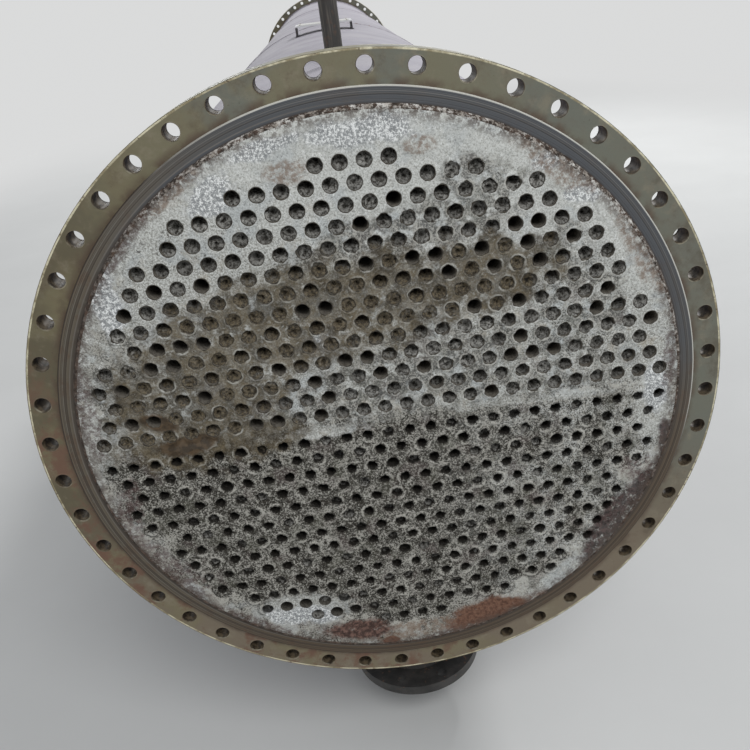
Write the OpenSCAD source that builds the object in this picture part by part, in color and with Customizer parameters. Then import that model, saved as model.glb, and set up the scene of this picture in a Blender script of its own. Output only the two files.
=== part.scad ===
// Shell and tube heat exchanger, fixed tubesheets, two tube passes.
// The channels at both ends are off, so the tube field shows.
// X is across, Y runs along the shell from front to rear, Z is up.
// The origin is on the floor, under the middle of the shell.

/* [Tube bundle] */
// Length of the tubes, face to face of the two tubesheets
tube_l = 6000; // [3600:100:7200]
// Outside diameter of a tube
tube_od = 25; // [16:1:27]
// Wall of a tube
tube_wall = 2.5; // [1.5:0.5:3.5]
// Distance between neighbouring tube centres
tube_pitch = 32; // [30:1:48]
// Distance between the two middle rows, across the pass lane
pass_lane = 44; // [38:1:80]
// Rows of tubes in each pass
pass_rows = 14; // [6:1:14]
// Tubes in the outermost row of each pass
last_row_tubes = 4; // [2:2:8]
// Ring left free between the outermost tube centres and the shell bore
bundle_margin = 33; // [24:1:60]
// Gap between a tube and its hole in the tubesheet, all round
tube_gap = 0.15; // [0.1:0.05:0.3]

/* [Shell] */
// Bore of the shell
shell_bore = 900; // [800:10:1000]
// Wall of the shell
shell_wall = 12; // [8:1:18]
// Width of a girth or seam weld bead
bead_w = 16; // [10:1:24]
// Height of a weld bead above the shell
bead_h = 2.5; // [1:0.5:4]
// Leg of the fillet weld between shell and tubesheet
end_weld_leg = 9; // [4:1:10]

/* [Tubesheets] */
// Thickness of the bolting rim
rim_t = 38; // [28:1:60]
// From the shell bore out to the bolt circle
bolt_circle_out = 45; // [45:1:60]
// From the bolt circle out to the edge of the rim
rim_edge_out = 20; // [18:1:30]
// Number of bolt holes in the rim
bolt_n = 48; // [24:4:52]
// Diameter of a bolt hole in the rim
bolt_hole_d = 23; // [16:1:26]
// From the shell bore out to the edge of the gasket ring
gasket_ring_out = 21; // [12:1:24]
// Height of the gasket ring above the bolting face
gasket_ring_h = 5; // [2:1:8]
// From the shell bore in to the edge of the tube field
field_in = 3; // [1:1:8]
// Height of the tube field above the gasket ring
field_h = 5; // [2:1:8]

/* [Bottom nozzles] */
// From the outer face of a tubesheet to the middle of its nozzle
nozzle_from_end = 200; // [190:5:400]
// From the shell down to the face of the nozzle flange
nozzle_out = 200; // [140:5:240]
// Outside diameter of the nozzle neck
neck_od = 139.7; // [114.3:0.1:168.3]
// Wall of the nozzle neck
neck_wall = 6.3; // [4:0.1:10]
// Diameter of the reinforcing pad
pad_d = 250; // [220:5:280]
// Thickness of the reinforcing pad
pad_t = 10; // [6:1:14]
// Diameter of the nozzle flange
nozzle_flange_d = 250; // [240:5:320]
// Thickness of the nozzle flange
nozzle_flange_t = 22; // [16:1:30]
// Bolt circle of the nozzle flange
nozzle_bolt_circle = 210; // [205:1:212]
// Number of bolt holes in the nozzle flange
nozzle_bolt_n = 8; // [4:4:12]
// Diameter of a bolt hole in the nozzle flange
nozzle_bolt_d = 18; // [12:1:22]
// Length of the tapered hub behind the nozzle flange
hub_l = 33; // [20:1:50]
// How much the hub thickens the neck at the flange
hub_swell = 10; // [4:1:14]
// Width of the raised face round the nozzle bore
raised_face_w = 30; // [10:1:30]
// Height of the raised face of every small flange
raised_face_h = 2; // [1:0.5:3]

/* [Vent] */
// From the outer face of the front tubesheet to the vent
vent_from_end = 460; // [330:5:600]
// From the shell up to the joint face of the vent flange
vent_out = 170; // [120:5:240]
// Outside diameter of the vent pipe
vent_od = 32; // [26:0.5:38]
// Wall of the vent pipe
vent_wall = 3.5; // [2:0.1:5]
// Diameter of the vent flange and its blind
vent_flange_d = 115; // [112:1:130]
// Thickness of the vent flange and its blind
vent_flange_t = 16; // [10:1:20]
// Bolt circle of the vent flange
vent_bolt_circle = 85; // [82:1:92]
// Diameter of a bolt hole in the vent flange
vent_bolt_d = 14; // [10:1:14]
// Thickness of the gasket under the blind
vent_gasket_t = 2; // [1:0.5:3]
// Leg of the fillet weld round the foot of the vent
vent_weld_leg = 6; // [3:1:8]

/* [Nameplate] */
// From the outer face of the front tubesheet to the near edge of the bracket
plate_from_end = 1600; // [1200:10:1900]
// Width of the bracket across the shell
bracket_w = 172; // [120:4:220]
// From the centreline of the shell to the middle of the bracket, left is negative
bracket_shift = -12; // [-20:1:20]
// Depth of the bracket along the shell
bracket_l = 120; // [80:5:160]
// Height of the bracket top above the crown of the shell
bracket_h = 20; // [12:1:60]
// Thickness of the bracket sheet
bracket_t = 4; // [2:1:6]
// Thickness of the blank nameplate
plate_t = 1.5; // [1:0.5:3]
// Margin of the bracket round the nameplate
plate_margin = 8; // [4:1:20]

/* [Saddles] */
// Height of the shell's centreline above the floor
axis_h = 750; // [700:10:1000]
// Distance between the two saddles, middle to middle
saddle_span = 3600; // [2600:50:4000]
// Angle from the bottom of the shell round to each end of the web
web_reach = 58; // [50:1:62]
// From the end of the web out to the end of the base plate
base_overhang = 6; // [0:1:40]
// Width of the base plate, along the shell
base_w = 200; // [160:10:260]
// Thickness of the base plate
base_t = 14; // [8:1:20]
// Thickness of the web and the ribs
web_t = 10; // [6:1:16]
// Width of the ribs on each side of the web
rib_w = 75; // [40:1:75]
// Angle by which the wear pad reaches round past each end of the web
wear_pad_past = 8; // [4:1:16]
// Width of the wear pad, along the shell
wear_pad_w = 240; // [180:10:300]
// Thickness of the wear pad
wear_pad_t = 8; // [4:1:12]
// Distance between the two anchor holes of a saddle
anchor_span = 590; // [500:10:640]
// Diameter of an anchor hole, and width of an anchor slot
anchor_d = 24; // [16:1:30]
// Length of the anchor slot in the rear saddle, end to end
anchor_slot_l = 60; // [40:1:90]

/* [Hidden] */
$fn = 96;
shell_fn = 360;
tube_fn = 24;

// Overlap that keeps a cut clear of the face it goes through
cut = 1;
shell_bore_r = shell_bore / 2;
shell_r = shell_bore_r + shell_wall;
end_y = tube_l / 2;
sheet_t = rim_t + gasket_ring_h + field_h;
shell_l = tube_l - 2 * sheet_t;
course_l = shell_l / 3;
bolt_circle_r = shell_bore_r + bolt_circle_out;

// Tube rows: row 0 lies next to the pass lane
row_rise = tube_pitch * sin(60);
bundle_r = shell_bore_r - bundle_margin;
// Rows whose end places are taken by tie rods instead of tubes
tie_rod_rows = [5, 10, 12];

nozzle_y = end_y - nozzle_from_end;
nozzle_face_z = -(shell_r + nozzle_out);
neck_r = neck_od / 2;
nozzle_bore_r = neck_r - neck_wall;
hub_top_z = nozzle_face_z + nozzle_flange_t + hub_l;

vent_y = -end_y + vent_from_end;
vent_face_z = shell_r + vent_out;
vent_r = vent_od / 2;
// Raised face of the vent flange, inside its bolt holes
vent_face_r = (vent_bolt_circle - vent_bolt_d) / 2 - 1;

plate_y = -end_y + plate_from_end + bracket_l / 2;
bracket_top_z = shell_r + bracket_h;

saddle_y = saddle_span / 2;
wear_pad_r = shell_r + wear_pad_t;
base_top_z = -axis_h + base_t;
wear_pad_angle = 2 * (web_reach + wear_pad_past);
web_half_w = wear_pad_r * sin(web_reach);
web_top_z = -wear_pad_r * cos(web_reach);
base_half_l = web_half_w + base_overhang;
rib_x = [-web_half_w + web_t, -web_half_w / 3, web_half_w / 3, web_half_w - web_t];

function row_z(k) = pass_lane / 2 + k * row_rise;
function row_half_w(k) = row_z(k) < bundle_r ? sqrt(pow(bundle_r, 2) - pow(row_z(k), 2)) : 0;
// Even rows have a tube on the centreline, odd rows have one on each side of it
function places(k) = k % 2 == 0
    ? 2 * floor(row_half_w(k) / tube_pitch) + 1
    : 2 * floor(row_half_w(k) / tube_pitch + 0.5);
function is_tie_rod_row(k) = len([for (r = tie_rod_rows) if (r == k) r]) > 0;
function row_tubes(k) = row_z(k) >= bundle_r ? 0
    : k == pass_rows - 1 ? min(places(k), last_row_tubes)
    : is_tie_rod_row(k) ? places(k) - 2
    : places(k);
pass_places = [
    for (k = [0 : pass_rows - 1])
        let (n = row_tubes(k))
            if (n > 0)
                for (i = [0 : n - 1])
                    [(i - (n - 1) / 2) * tube_pitch, row_z(k)]
];

// Lifts what follows from the floor to the centreline of the shell
module on_axis() {
    translate([0, 0, axis_h]) children();
}

// Cylinder along Y, centred on the origin
module along_y(r, l) {
    rotate([90, 0, 0]) cylinder(r = r, h = l, center = true, $fn = shell_fn);
}

// Tube holes or tubes of one pass in the plane; side is 1 above the lane and -1 below it
module pass_circles(side, d) {
    for (p = pass_places) translate([p[0], side * p[1]]) circle(d = d, $fn = tube_fn);
}

// All the holes of a tubesheet, in its plane
module tubesheet_holes() {
    pass_circles(1, tube_od + 2 * tube_gap);
    pass_circles(-1, tube_od + 2 * tube_gap);
    for (i = [0 : bolt_n - 1])
        rotate((i + 0.5) * 360 / bolt_n) translate([bolt_circle_r, 0]) circle(d = bolt_hole_d);
}

// Tubesheet with its back on the plane z = 0 and its tube field facing +Z
module tubesheet() {
    rim_r = bolt_circle_r + rim_edge_out;
    ring_r = shell_bore_r + gasket_ring_out;
    field_r = shell_bore_r - field_in;
    difference() {
        rotate_extrude() polygon([
            [0, 0],
            [rim_r, 0],
            [rim_r, rim_t],
            [ring_r, rim_t],
            [ring_r, rim_t + gasket_ring_h],
            [field_r, rim_t + gasket_ring_h],
            [field_r, sheet_t],
            [0, sheet_t]
        ]);
        translate([0, 0, -cut]) linear_extrude(sheet_t + 2 * cut) tubesheet_holes();
    }
}

module front_tubesheet() {
    color("darkkhaki") on_axis() translate([0, -end_y + sheet_t, 0]) rotate([90, 0, 0]) tubesheet();
}

module rear_tubesheet() {
    color("darkkhaki") on_axis() translate([0, end_y - sheet_t, 0]) rotate([-90, 0, 0]) tubesheet();
}

module tube_pass(side) {
    on_axis() rotate([90, 0, 0]) linear_extrude(tube_l, center = true) difference() {
        pass_circles(side, tube_od);
        pass_circles(side, tube_od - 2 * tube_wall);
    }
}

module tubes_upper_pass() {
    color("silver") tube_pass(1);
}

module tubes_lower_pass() {
    color("silver") tube_pass(-1);
}

// One rolled course of the shell, counted -1, 0 and 1 from front to rear
module course(place) {
    translate([0, place * course_l, 0]) difference() {
        along_y(shell_r, course_l);
        along_y(shell_bore_r, course_l + 2 * cut);
    }
}

// Hole through the bottom of the shell for a nozzle neck at y
module nozzle_hole(y) {
    translate([0, y, -shell_r - cut]) cylinder(r = neck_r, h = shell_r);
}

module shell_front_course() {
    color("lightsteelblue") on_axis() difference() {
        course(-1);
        nozzle_hole(-nozzle_y);
        translate([0, vent_y, 0]) cylinder(r = vent_r, h = shell_r + cut);
    }
}

module shell_middle_course() {
    color("lightsteelblue") on_axis() course(0);
}

module shell_rear_course() {
    color("lightsteelblue") on_axis() difference() {
        course(1);
        nozzle_hole(nozzle_y);
    }
}

// Rounded cross-section of a weld bead that stands on a line at height 0
module bead_section() {
    intersection() {
        translate([0, bead_h - bead_r()]) circle(r = bead_r());
        translate([-bead_w / 2, 0]) square([bead_w, bead_h]);
    }
}

// Radius of the bead's rounded top, from its width and height
function bead_r() = (pow(bead_w / 2, 2) + pow(bead_h, 2)) / (2 * bead_h);

module girth_weld() {
    rotate([90, 0, 0]) rotate_extrude() translate([shell_r, 0]) rotate(-90) bead_section();
}

module girth_welds() {
    color("slategray") on_axis() for (side = [-1, 1]) translate([0, side * course_l / 2, 0]) girth_weld();
}

// Lengthwise weld of one course, turned by angle from the crown
module seam_weld(place, angle) {
    translate([0, place * course_l, 0]) rotate([0, angle, 0]) translate([0, 0, shell_r])
        rotate([90, 0, 0]) linear_extrude(course_l - 2 * bead_w, center = true) bead_section();
}

module seam_welds() {
    color("slategray") on_axis() {
        seam_weld(-1, 50);
        seam_weld(0, -50);
        seam_weld(1, 50);
    }
}

// Fillet weld round the end of the shell, against a tubesheet on the plane z = 0
module end_weld() {
    rotate_extrude() polygon([[shell_r, 0], [shell_r + end_weld_leg, 0], [shell_r, end_weld_leg]]);
}

module front_end_weld() {
    color("slategray") on_axis() translate([0, -end_y + sheet_t, 0]) rotate([-90, 0, 0]) end_weld();
}

module rear_end_weld() {
    color("slategray") on_axis() translate([0, end_y - sheet_t, 0]) rotate([90, 0, 0]) end_weld();
}

// Neck that passes through the shell wall and ends flush with the bore
module nozzle_neck() {
    difference() {
        translate([0, 0, hub_top_z]) cylinder(r = neck_r, h = -hub_top_z - shell_bore_r / 2);
        translate([0, 0, hub_top_z - cut]) cylinder(r = nozzle_bore_r, h = -hub_top_z);
        along_y(shell_bore_r, neck_od + 2 * cut);
    }
}

module nozzle_pad() {
    difference() {
        intersection() {
            along_y(shell_r + pad_t, pad_d + 2 * cut);
            translate([0, 0, -shell_r - pad_t - cut]) cylinder(d = pad_d, h = shell_r / 2);
        }
        along_y(shell_r, pad_d + 4 * cut);
        translate([0, 0, -shell_r - pad_t - 2 * cut]) cylinder(r = neck_r, h = shell_r);
    }
}

// Flange with a tapered hub, its joint face down
module nozzle_flange() {
    translate([0, 0, nozzle_face_z]) difference() {
        rotate_extrude() polygon([
            [nozzle_bore_r, 0],
            [nozzle_bore_r + raised_face_w, 0],
            [nozzle_bore_r + raised_face_w, raised_face_h],
            [nozzle_flange_d / 2, raised_face_h],
            [nozzle_flange_d / 2, nozzle_flange_t],
            [neck_r + hub_swell, nozzle_flange_t],
            [neck_r, nozzle_flange_t + hub_l],
            [nozzle_bore_r, nozzle_flange_t + hub_l]
        ]);
        for (i = [0 : nozzle_bolt_n - 1])
            rotate((i + 0.5) * 360 / nozzle_bolt_n) translate([nozzle_bolt_circle / 2, 0, -cut])
                cylinder(d = nozzle_bolt_d, h = nozzle_flange_t + 2 * cut, $fn = 32);
    }
}

module front_nozzle_neck() {
    color("dimgray") on_axis() translate([0, -nozzle_y, 0]) nozzle_neck();
}

module front_nozzle_pad() {
    color("lightsteelblue") on_axis() translate([0, -nozzle_y, 0]) nozzle_pad();
}

module front_nozzle_flange() {
    color("dimgray") on_axis() translate([0, -nozzle_y, 0]) nozzle_flange();
}

module rear_nozzle_neck() {
    color("dimgray") on_axis() translate([0, nozzle_y, 0]) nozzle_neck();
}

module rear_nozzle_pad() {
    color("lightsteelblue") on_axis() translate([0, nozzle_y, 0]) nozzle_pad();
}

module rear_nozzle_flange() {
    color("dimgray") on_axis() translate([0, nozzle_y, 0]) nozzle_flange();
}

// Vent pipe from the shell bore up to the joint face of its flange
module vent_pipe() {
    color("dimgray") on_axis() translate([0, vent_y, 0]) difference() {
        translate([0, 0, shell_bore_r / 2]) cylinder(r = vent_r, h = vent_face_z - shell_bore_r / 2);
        cylinder(r = vent_r - vent_wall, h = vent_face_z + cut);
        along_y(shell_bore_r, vent_od + 2 * cut);
    }
}

// Fillet weld round the foot of the vent, sunk to follow the shell
module vent_weld() {
    color("dimgray") on_axis() translate([0, vent_y, 0]) difference() {
        rotate_extrude() polygon([
            [vent_r, shell_r - vent_weld_leg],
            [vent_r + 2 * vent_weld_leg, shell_r - vent_weld_leg],
            [vent_r, shell_r + vent_weld_leg]
        ]);
        along_y(shell_r, vent_od + 6 * vent_weld_leg);
    }
}

// Holes for the four bolts of the vent joint, through a depth of h
module vent_bolt_holes(h) {
    for (a = [45 : 90 : 315])
        rotate(a) translate([vent_bolt_circle / 2, 0, -cut]) cylinder(d = vent_bolt_d, h = h + 2 * cut, $fn = 32);
}

// Slip-on flange, its raised face level with the end of the pipe
module vent_flange() {
    color("dimgray") on_axis() translate([0, vent_y, vent_face_z - vent_flange_t]) difference() {
        union() {
            cylinder(d = vent_flange_d, h = vent_flange_t - raised_face_h);
            cylinder(r = vent_face_r, h = vent_flange_t);
        }
        translate([0, 0, -cut]) cylinder(r = vent_r, h = vent_flange_t + 2 * cut);
        vent_bolt_holes(vent_flange_t);
    }
}

module vent_gasket() {
    color("black") on_axis() translate([0, vent_y, vent_face_z]) difference() {
        cylinder(r = vent_face_r, h = vent_gasket_t);
        translate([0, 0, -cut]) cylinder(r = vent_r - vent_wall, h = vent_gasket_t + 2 * cut);
    }
}

module vent_blind() {
    color("dimgray") on_axis() translate([0, vent_y, vent_face_z + vent_gasket_t]) difference() {
        union() {
            cylinder(r = vent_face_r, h = vent_flange_t);
            translate([0, 0, raised_face_h]) cylinder(d = vent_flange_d, h = vent_flange_t - raised_face_h);
        }
        vent_bolt_holes(vent_flange_t);
    }
}

// Bent sheet: a flat top on two legs that stand on the shell
module nameplate_bracket() {
    color("gray") on_axis() translate([0, plate_y, 0]) difference() {
        translate([bracket_shift - bracket_w / 2, -bracket_l / 2, shell_r / 2])
            cube([bracket_w, bracket_l, bracket_top_z - shell_r / 2]);
        translate([bracket_shift - bracket_w / 2 + bracket_t, -bracket_l / 2 - cut, 0])
            cube([bracket_w - 2 * bracket_t, bracket_l + 2 * cut, bracket_top_z - bracket_t]);
        along_y(shell_r, bracket_l + 2 * cut);
    }
}

module nameplate() {
    plate_w = bracket_w - 2 * plate_margin;
    plate_l = bracket_l - 2 * plate_margin;
    color("gainsboro") on_axis() translate([bracket_shift - plate_w / 2, plate_y - plate_l / 2, bracket_top_z])
        cube([plate_w, plate_l, plate_t]);
}

// Curved plate between the shell and the saddle
module saddle_pad() {
    rotate([90, 0, 0]) rotate(-90 - wear_pad_angle / 2) rotate_extrude(angle = wear_pad_angle)
        translate([shell_r, -wear_pad_w / 2]) square([wear_pad_t, wear_pad_w]);
}

module saddle_web() {
    difference() {
        translate([-web_half_w, -web_t / 2, base_top_z]) cube([2 * web_half_w, web_t, web_top_z - base_top_z]);
        along_y(wear_pad_r, web_t + 2 * cut);
    }
}

module saddle_ribs() {
    difference() {
        for (x = rib_x, side = [-1, 1])
            translate([x - web_t / 2, side > 0 ? web_t / 2 : -web_t / 2 - rib_w, base_top_z])
                cube([web_t, rib_w, -base_top_z - shell_bore_r / 4]);
        along_y(wear_pad_r, 2 * (rib_w + web_t));
    }
}

module base_plate() {
    translate([-base_half_l, -base_w / 2, -axis_h]) cube([2 * base_half_l, base_w, base_t]);
}

// Anchor hole at x, stretched along the shell to a slot of length l
module anchor_hole(x, l) {
    translate([x, 0, -axis_h - cut]) {
        for (end = [-1, 1]) translate([0, end * (l - anchor_d) / 2, 0]) cylinder(d = anchor_d, h = base_t + 2 * cut);
        translate([-anchor_d / 2, -(l - anchor_d) / 2, 0]) cube([anchor_d, l - anchor_d, base_t + 2 * cut]);
    }
}

module front_saddle_pad() {
    color("lightsteelblue") on_axis() translate([0, -saddle_y, 0]) saddle_pad();
}

module front_saddle_web() {
    color("lightsteelblue") on_axis() translate([0, -saddle_y, 0]) saddle_web();
}

module front_saddle_ribs() {
    color("lightsteelblue") on_axis() translate([0, -saddle_y, 0]) saddle_ribs();
}

// The front saddle is the fixed one, with round anchor holes
module front_saddle_base() {
    color("lightsteelblue") on_axis() translate([0, -saddle_y, 0]) difference() {
        base_plate();
        for (side = [-1, 1])
            translate([side * anchor_span / 2, 0, -axis_h - cut]) cylinder(d = anchor_d, h = base_t + 2 * cut);
    }
}

module rear_saddle_pad() {
    color("lightsteelblue") on_axis() translate([0, saddle_y, 0]) saddle_pad();
}

module rear_saddle_web() {
    color("lightsteelblue") on_axis() translate([0, saddle_y, 0]) saddle_web();
}

module rear_saddle_ribs() {
    color("lightsteelblue") on_axis() translate([0, saddle_y, 0]) saddle_ribs();
}

// The rear saddle slides as the shell grows with heat, so its anchor holes are slots
module rear_saddle_base() {
    color("lightsteelblue") on_axis() translate([0, saddle_y, 0]) difference() {
        base_plate();
        for (side = [-1, 1]) anchor_hole(side * anchor_span / 2, anchor_slot_l);
    }
}

front_tubesheet();
rear_tubesheet();
tubes_upper_pass();
tubes_lower_pass();
shell_front_course();
shell_middle_course();
shell_rear_course();
girth_welds();
seam_welds();
front_end_weld();
rear_end_weld();
front_nozzle_neck();
front_nozzle_pad();
front_nozzle_flange();
rear_nozzle_neck();
rear_nozzle_pad();
rear_nozzle_flange();
vent_pipe();
vent_weld();
vent_flange();
vent_gasket();
vent_blind();
nameplate_bracket();
nameplate();
front_saddle_pad();
front_saddle_web();
front_saddle_ribs();
front_saddle_base();
rear_saddle_pad();
rear_saddle_web();
rear_saddle_ribs();
rear_saddle_base();
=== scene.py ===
import math

import bmesh
import bpy
import numpy as np
from mathutils import Matrix, Vector


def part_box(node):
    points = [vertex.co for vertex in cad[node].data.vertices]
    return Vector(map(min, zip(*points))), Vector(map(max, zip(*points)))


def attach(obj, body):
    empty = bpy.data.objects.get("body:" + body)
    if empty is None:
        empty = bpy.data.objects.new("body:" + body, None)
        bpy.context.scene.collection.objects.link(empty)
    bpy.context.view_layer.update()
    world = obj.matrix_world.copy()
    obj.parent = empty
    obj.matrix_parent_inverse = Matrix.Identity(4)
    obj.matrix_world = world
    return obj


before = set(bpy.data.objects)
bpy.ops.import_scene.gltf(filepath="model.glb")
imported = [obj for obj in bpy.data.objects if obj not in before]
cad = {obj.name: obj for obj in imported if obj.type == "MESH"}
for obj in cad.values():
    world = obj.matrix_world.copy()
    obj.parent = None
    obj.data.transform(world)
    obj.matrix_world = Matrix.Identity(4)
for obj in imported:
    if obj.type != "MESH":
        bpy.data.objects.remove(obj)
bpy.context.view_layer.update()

# Sizes of the exchanger in metres. X is across, Y from front to rear, Z up
END_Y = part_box("rear_tubesheet")[1].y
AXIS_Z = (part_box("front_tubesheet")[0].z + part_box("front_tubesheet")[1].z) / 2
SHELL_R = 0.462

PITCH = 0.032
LANE = 0.044
ROW_RISE = PITCH * math.sin(math.radians(60))
ROWS = 14
LAST_ROW_TUBES = 4
TIE_ROD_ROWS = (5, 10, 12)
BUNDLE_R = 0.417
TUBE_BORE_R = 0.01
# Mouths that stay clear or bare, and how far a tube's crust reaches with no neighbour or at the lane
CLEAR_MOUTH_R = 0.0094
BARE_MOUTH_R = 0.0104
OPEN_REACH = 0.0182
LANE_REACH = 0.027
# The border outside the tubes
MARGIN_FROM_R = 0.255

FIELD_R = 0.447
FIELD_H = 0.005
RING_R = 0.471
RING_H = 0.005
GROOVE_FROM_R, GROOVE_TO_R = 0.4605, 0.463
RIM_R = 0.515
RIM_T = 0.038
BOLT_CIRCLE_R = 0.495
BOLT_HOLE_R = 0.0115
BOLTS = 48

NECK_R = 0.06985
PAD_R = 0.125
PAD_T = 0.01
NOZZLE_IN = 0.2
NOZZLE_DROP = 0.2
NOZZLE_FLANGE_H = 0.055
HUB_TOP = AXIS_Z - SHELL_R - NOZZLE_DROP + NOZZLE_FLANGE_H

WEAR_PAD_TURN = math.radians(66)
WEAR_PAD_T = 0.008
WEAR_PAD_HALF = 0.12
SADDLE_Y = 1.8
PLATE_HALF_T = 0.005
BASE_TOP = 0.014
RIB_W = 0.075
VENT_BOLT_CIRCLE_R = 0.0425

# Tubes that stay free of deposits in each pass: row, and steps of the pitch from the middle
CLEAR_TUBES = ((2, 0), (2, 8), (8, 0), (8, 7))

FRONT, REAR = -1, 1
UPPER, LOWER = 1, -1


def tone(red, green, blue):
    """What a shader takes for a colour that shows as this on screen, from 0 to 255"""
    shares = [value / 255 for value in (red, green, blue)]
    return tuple(s / 12.92 if s <= 0.04045 else ((s + 0.055) / 1.055) ** 2.4 for s in shares) + (1.0,)


# Colours of paint, scale, rust and bare metal as they show on screen, from 0 to 255
LIME = (212, 214, 210)
LIME_SHADE = (138, 137, 130)
LIME_COOL = (176, 183, 186)
LIME_DIRTY = (150, 138, 116)
PIT = (50, 45, 39)
CRUST_LIGHT = (178, 176, 168)
CRUST_DARK = (48, 45, 39)
OUTLINE = (160, 156, 144)
MUD = (108, 97, 76)
MUD_DARK = (66, 58, 44)
RUST = (128, 95, 77)
RUST_DEEP = (92, 64, 52)
MAROON = (84, 64, 63)
PAINT_GREEN = (108, 110, 100)
PAINT_KHAKI = (96, 89, 70)
PAINT_BEIGE = (120, 109, 93)
PAINT_WORN = (138, 130, 112)
RING_BLUE = (74, 77, 82)
RING_BROWN = (93, 85, 71)
RING_LINE = (112, 110, 104)
PRIMER = (153, 150, 159)
PRIMER_DARK = (136, 133, 142)
DUST = (166, 163, 168)
BLACK_PAINT = (42, 42, 41)
MILL_SCALE = (58, 56, 54)

# The colour that the floor fades into, as a shader takes it
BACKGROUND = (0.7, 0.705, 0.705, 1.0)
SCALE_ROUGH = 0.88


# Materials


class Tree:
    """A tree of shader nodes. Its methods add nodes and give back the socket that comes out"""

    def __init__(self, tree):
        self.nodes, self.links = tree.nodes, tree.links

    def put(self, socket, value):
        if isinstance(value, bpy.types.NodeSocket):
            self.links.new(value, socket)
        else:
            socket.default_value = value

    def node(self, kind, out=0, inputs=None, **settings):
        """A node of any kind. inputs has values or sockets by name or number"""
        node = self.nodes.new("ShaderNode" + kind)
        for name, value in settings.items():
            setattr(node, name, value)
        for name, value in (inputs or {}).items():
            self.put(node.inputs[name], value)
        return node.outputs[out]

    def math(self, action, first, second=0.0):
        return self.node("Math", 0, {0: first, 1: second}, operation=action)

    def plus(self, first, second):
        return self.math("ADD", first, second)

    def minus(self, first, second):
        return self.math("SUBTRACT", first, second)

    def both(self, first, second):
        return self.math("MULTIPLY", first, second)

    def either(self, first, second):
        return self.math("MAXIMUM", first, second)

    def vector(self, action, first, second=(0, 0, 0)):
        out = "Value" if action == "LENGTH" else "Vector"
        return self.node("VectorMath", out, {0: first, 1: second}, operation=action)

    def fade(self, value, low, high):
        """0 at low and 1 at high, with a soft start and end"""
        inputs = {"Value": value, "From Min": low, "From Max": high}
        return self.node("MapRange", "Result", inputs, interpolation_type="SMOOTHSTEP")

    def mix(self, amount, first, second):
        """Mixes colours, each a socket or as it shows on screen, from 0 to 255"""
        first, second = (tone(*colour) if isinstance(colour, tuple) else colour for colour in (first, second))
        return self.node("Mix", 2, {0: amount, 6: first, 7: second}, data_type="RGBA")

    def blend(self, amount, first, second):
        """Like mix, for plain numbers"""
        return self.node("Mix", 0, {0: amount, 2: first, 3: second})

    def stain(self, colour, *layers):
        """Layers over a colour. Each is its own colour, where it lies and how thick"""
        for other, mask, share in layers:
            colour = self.mix(self.both(mask, share), colour, other)
        return colour


class Look(Tree):
    """A node material, laid out by the places of the exchanger"""

    def __init__(self, name, metallic=0.0, specular=0.5):
        self.material = bpy.data.materials.new(name)
        self.material.use_nodes = True
        super().__init__(self.material.node_tree)
        self.shader = self.nodes["Principled BSDF"]
        self.shader.inputs["Metallic"].default_value = metallic
        self.shader.inputs["Specular IOR Level"].default_value = specular
        self.place = self.node("TexCoord", "Object")

    def axes(self, place):
        return self.node("SeparateXYZ", 0, {0: place}).node.outputs

    def noise(self, size, detail=4.0, rough=0.55):
        """Cloudy noise from 0 to 1. size is that of its patches in mm, or one size for each axis"""
        sizes = size if isinstance(size, tuple) else (size, size, size)
        scaled = self.vector("DIVIDE", self.place, tuple(axis / 1000 for axis in sizes))
        inputs = {"Vector": scaled, "Scale": 1.0, "Detail": detail, "Roughness": rough}
        return self.node("TexNoise", "Fac", inputs)

    def spots(self, size, low, high, detail=4.0, rough=0.55):
        """1 where cloudy noise is past high, 0 where it is short of low"""
        return self.fade(self.noise(size, detail, rough), low, high)

    def mottle(self, first, second, size, low, high, detail=4.0, rough=0.55):
        """Spots of a second colour on the first"""
        return self.mix(self.spots(size, low, high, detail, rough), first, second)

    def bump(self, height, depth, under=None):
        """Relief where a height of 1 stands depth above a height of 0, in mm"""
        inputs = {"Distance": depth / 1000, "Height": height}
        if under is not None:
            inputs["Normal"] = under
        return self.node("Bump", "Normal", inputs)

    def grain(self, size, depth, detail=4.0, rough=0.55, under=None):
        """Relief of cloudy noise"""
        return self.bump(self.noise(size, detail, rough), depth, under)

    def across(self):
        """Position across the exchanger, measured from its centreline"""
        return self.vector("MULTIPLY", self.vector("SUBTRACT", self.place, (0, 0, AXIS_Z)), (1, 0, 1))

    def radius(self):
        return self.vector("LENGTH", self.across())

    def from_end(self):
        """How far in from the outer face of the nearer tube field"""
        return self.minus(END_Y, self.math("ABSOLUTE", self.axes(self.place)[1]))

    def attribute(self, name):
        return self.node("Attribute", "Fac", attribute_name=name)

    def patch(self, x, z, wide, high, turn):
        """1 inside a ragged patch of the end face, 0 outside"""
        inputs = {
            "Vector": self.across(),
            "Location": (x, 0, z),
            "Rotation": (0, math.radians(turn), 0),
            "Scale": (wide, 1, high),
        }
        reach = self.vector("LENGTH", self.node("Mapping", 0, inputs, vector_type="TEXTURE"))
        ragged = self.both(self.minus(self.noise(50, 6, 0.7), 0.5), 1.8)
        return self.fade(self.plus(reach, ragged), 1.1, 0.7)

    def patches(self, places):
        found = self.patch(*places[0])
        for place in places[1:]:
            found = self.either(found, self.patch(*place))
        return found

    def finish(self, colour, roughness, normal=None):
        self.put(self.shader.inputs["Base Color"], colour)
        self.put(self.shader.inputs["Roughness"], roughness)
        if normal is not None:
            self.put(self.shader.inputs["Normal"], normal)
        return self.material


def in_metres(*rows):
    """Patches of an end face from mm: x and z from the centreline, half width, half height, turn"""
    return [(*(size / 1000 for size in row[:4]), row[4]) for row in rows]


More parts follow.
